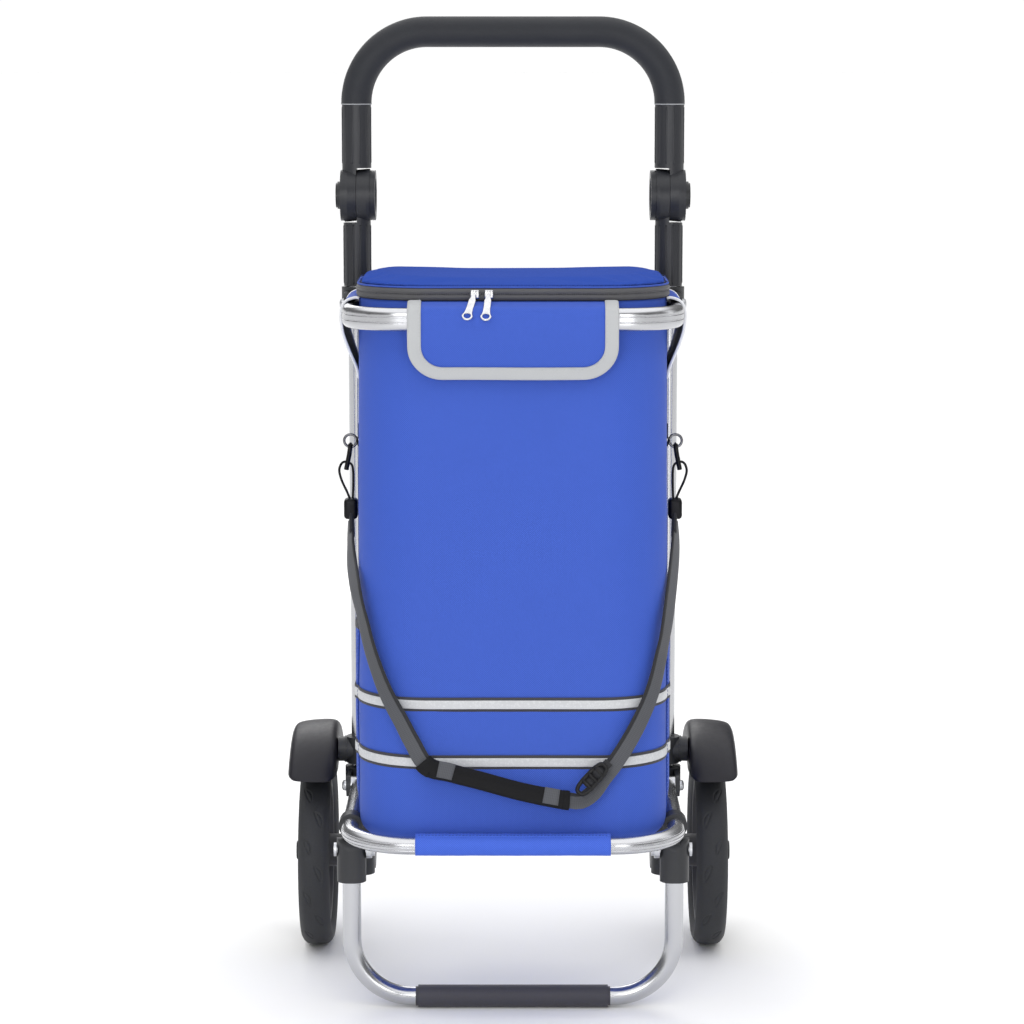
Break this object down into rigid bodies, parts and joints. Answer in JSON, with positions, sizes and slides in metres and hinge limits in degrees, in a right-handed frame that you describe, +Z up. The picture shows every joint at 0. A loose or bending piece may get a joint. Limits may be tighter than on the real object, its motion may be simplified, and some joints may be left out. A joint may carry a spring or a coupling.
{
  "type": "shopping trolley",
  "caption": "Two-wheeled shopping trolley with a folding handle, a fabric bag hung in a hoop, a folding platform and foot, and a shoulder strap.",
  "frame": {"origin": "on the ground, under the middle of the object's box", "axes": "+Z up; the front, with the bag, faces -Y; +X to the right seen from the front"},
  "size_m": [0.486, 0.4506, 1.0161],
  "materials": {
    "rail_aluminium": "satin anodised",
    "hoop_aluminium": "satin anodised, grooved",
    "platform_aluminium": "satin anodised, grooved",
    "socket_plastic": "ribbed",
    "steel": "zinc plated",
    "black_plastic": "fine texture",
    "fender_plastic": "satin",
    "bag_cloth": "plain weave polyester",
    "base_board": "board",
    "reflective": "reflective tape",
    "zip_grey": "zip tape",
    "zip_metal": "polished",
    "ring_steel": "polished",
    "hook_black": "satin black",
    "strap_webbing": "ribbed webbing",
    "pad_cloth": "woven",
    "foam": "closed-cell foam",
    "tyre": "moulded tread",
    "wheel_plastic": "moulded"
  },
  "bodies": {
    "frame": {"rail_left": "rail_aluminium", "rail_right": "rail_aluminium", "cross_bar": "rail_aluminium", "handle_socket_left": "socket_plastic", "handle_socket_right": "socket_plastic", "fold_pins": "steel", "hoop_brackets": "black_plastic", "platform_brackets": "black_plastic", "pivot_pins": "steel", "fender_clamps": "black_plastic", "fender_left": "fender_plastic", "fender_right": "fender_plastic", "axle_bracket_left": "black_plastic", "axle_bracket_right": "black_plastic", "axles": "steel", "axle_caps": "black_plastic", "bag_shell": "bag_cloth", "base_board": "base_board", "side_pockets": "bag_cloth", "reflective_bands": "reflective", "zip_tape": "zip_grey", "side_flaps": "bag_cloth", "d_rings": "ring_steel", "snap_hooks": "hook_black", "wire_loops": "hook_black", "strap_keepers": "hook_black", "shoulder_strap": "strap_webbing", "shoulder_pad": "pad_cloth", "strap_slider": "hook_black"},
    "handle": {"handle_bow": "steel", "handle_grip": "foam", "upper_tube_left": "socket_plastic", "upper_tube_right": "socket_plastic", "button_spring_left": "steel", "button_spring_right": "steel"},
    "button_left": {"fold_button_left": "black_plastic"},
    "button_right": {"fold_button_right": "black_plastic"},
    "platform": {"platform_hoop": "platform_aluminium", "platform_slats": "platform_aluminium", "hoop_sleeve": "bag_cloth", "foot_lugs": "black_plastic", "foot_pins": "steel"},
    "foot": {"foot_tube": "platform_aluminium", "foot_sockets": "black_plastic", "foot_grip": "foam"},
    "hoop": {"top_hoop": "hoop_aluminium"},
    "flap": {"front_flap": "bag_cloth"},
    "bag_lid": {"lid": "bag_cloth"},
    "zip_left": {"slider_left": "zip_metal"},
    "zip_right": {"slider_right": "zip_metal"},
    "tab_left": {"pull_left": "zip_metal"},
    "tab_right": {"pull_right": "zip_metal"},
    "wheel_left": {"tyre_left": "tyre", "rim_left": "wheel_plastic", "bushes_left": "steel"},
    "wheel_right": {"tyre_right": "tyre", "rim_right": "wheel_plastic", "bushes_right": "steel"}
  },
  "joints": [
    {"name": "handle_fold", "type": "hinge", "parent": "frame", "child": "handle", "pos_m": [0, 0.0853, 0.828], "axis": [-1, 0, 0], "range_deg": [0, 118]},
    {"name": "button_press_left", "type": "slide", "parent": "handle", "child": "button_left", "axis": [1, 0, 0], "range_m": [0, 0.0028], "stiffness_N_per_m": 300, "deforming": ["button_spring_left"]},
    {"name": "button_press_right", "type": "slide", "parent": "handle", "child": "button_right", "axis": [-1, 0, 0], "range_m": [0, 0.0028], "stiffness_N_per_m": 300, "deforming": ["button_spring_right"]},
    {"name": "platform_fold", "type": "hinge", "parent": "frame", "child": "platform", "pos_m": [0, 0.0493, 0.194], "axis": [-1, 0, 0], "range_deg": [0, 90], "deforming": ["bag_shell", "base_board", "side_pockets", "reflective_bands", "zip_tape", "side_flaps", "lid", "front_flap", "shoulder_strap", "shoulder_pad", "strap_slider", "strap_keepers", "wire_loops", "snap_hooks", "d_rings", "slider_left", "slider_right", "pull_left", "pull_right"]},
    {"name": "hoop_fold", "type": "hinge", "parent": "frame", "child": "hoop", "pos_m": [0, 0.0493, 0.715], "axis": [-1, 0, 0], "range_deg": [-90, 0]},
    {"name": "flap_hang", "type": "hinge", "parent": "hoop", "child": "flap", "pos_m": [0, -0.1577, 0.715], "axis": [-1, 0, 0], "range_deg": [0, 90]},
    {"name": "foot_fold", "type": "hinge", "parent": "platform", "child": "foot", "pos_m": [0, -0.1237, 0.167], "axis": [1, 0, 0], "range_deg": [0, 90]},
    {"name": "lid_open", "type": "hinge", "parent": "frame", "child": "bag_lid", "pos_m": [0, 0.0593, 0.745], "axis": [-1, 0, 0], "range_deg": [0, 70]},
    {"name": "zip_slide_left", "type": "slide", "parent": "frame", "child": "zip_left", "axis": [-1, 0, 0], "range_m": [0, 0.045]},
    {"name": "zip_slide_right", "type": "slide", "parent": "frame", "child": "zip_right", "axis": [1, 0, 0], "range_m": [0, 0.095]},
    {"name": "pull_swing_left", "type": "hinge", "parent": "zip_left", "child": "tab_left", "pos_m": [-0.033, -0.1469, 0.741], "axis": [-1, 0, 0], "range_deg": [0, 105]},
    {"name": "pull_swing_right", "type": "hinge", "parent": "zip_right", "child": "tab_right", "pos_m": [-0.019, -0.1469, 0.741], "axis": [-1, 0, 0], "range_deg": [0, 105]},
    {"name": "wheel_spin_left", "type": "hinge", "parent": "frame", "child": "wheel_left", "pos_m": [0, 0.1213, 0.104], "axis": [1, 0, 0], "continuous": true},
    {"name": "wheel_spin_right", "type": "hinge", "parent": "frame", "child": "wheel_right", "pos_m": [0, 0.1213, 0.104], "axis": [1, 0, 0], "continuous": true}
  ],
  "couplings": [
    {"joint": "hoop_fold", "follows": "platform_fold", "ratio": -1},
    {"joint": "flap_hang", "follows": "platform_fold", "ratio": 1}
  ]
}
